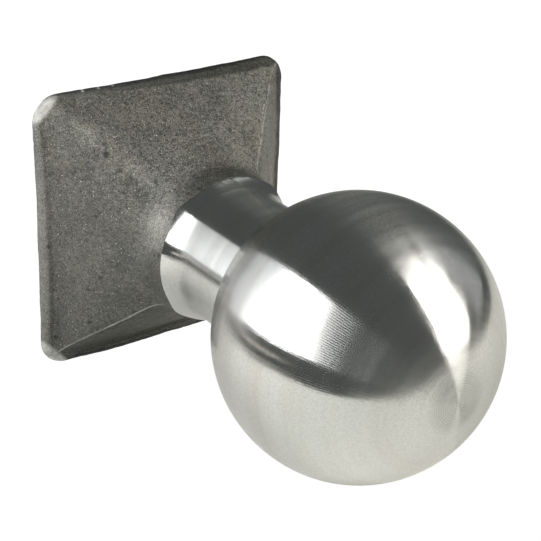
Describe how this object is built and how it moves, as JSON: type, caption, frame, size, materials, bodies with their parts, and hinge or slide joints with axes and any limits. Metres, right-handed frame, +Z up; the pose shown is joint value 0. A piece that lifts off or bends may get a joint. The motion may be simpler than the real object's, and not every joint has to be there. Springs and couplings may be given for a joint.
{
  "type": "gooseneck hitch ball",
  "caption": "Weld-on trailer hitch ball: a turned steel ball and neck standing on a flared square forged base with a flat underside.",
  "frame": {"origin": "middle of the base's flat underside, on the ball's axis", "axes": "+Z up the neck through the ball's centre, +X and +Y square to the base's sides"},
  "size_m": [0.066, 0.066, 0.1026],
  "materials": {
    "forged_steel": "as forged and shot-blasted, matt with a fine sparkle",
    "turned_steel": "bare turned steel with fine rings around the axis",
    "weld_metal": "as welded"
  },
  "bodies": {
    "root": {"base_forging": "forged_steel", "ball_stud": "turned_steel", "root_weld": "weld_metal"}
  },
  "joints": []
}
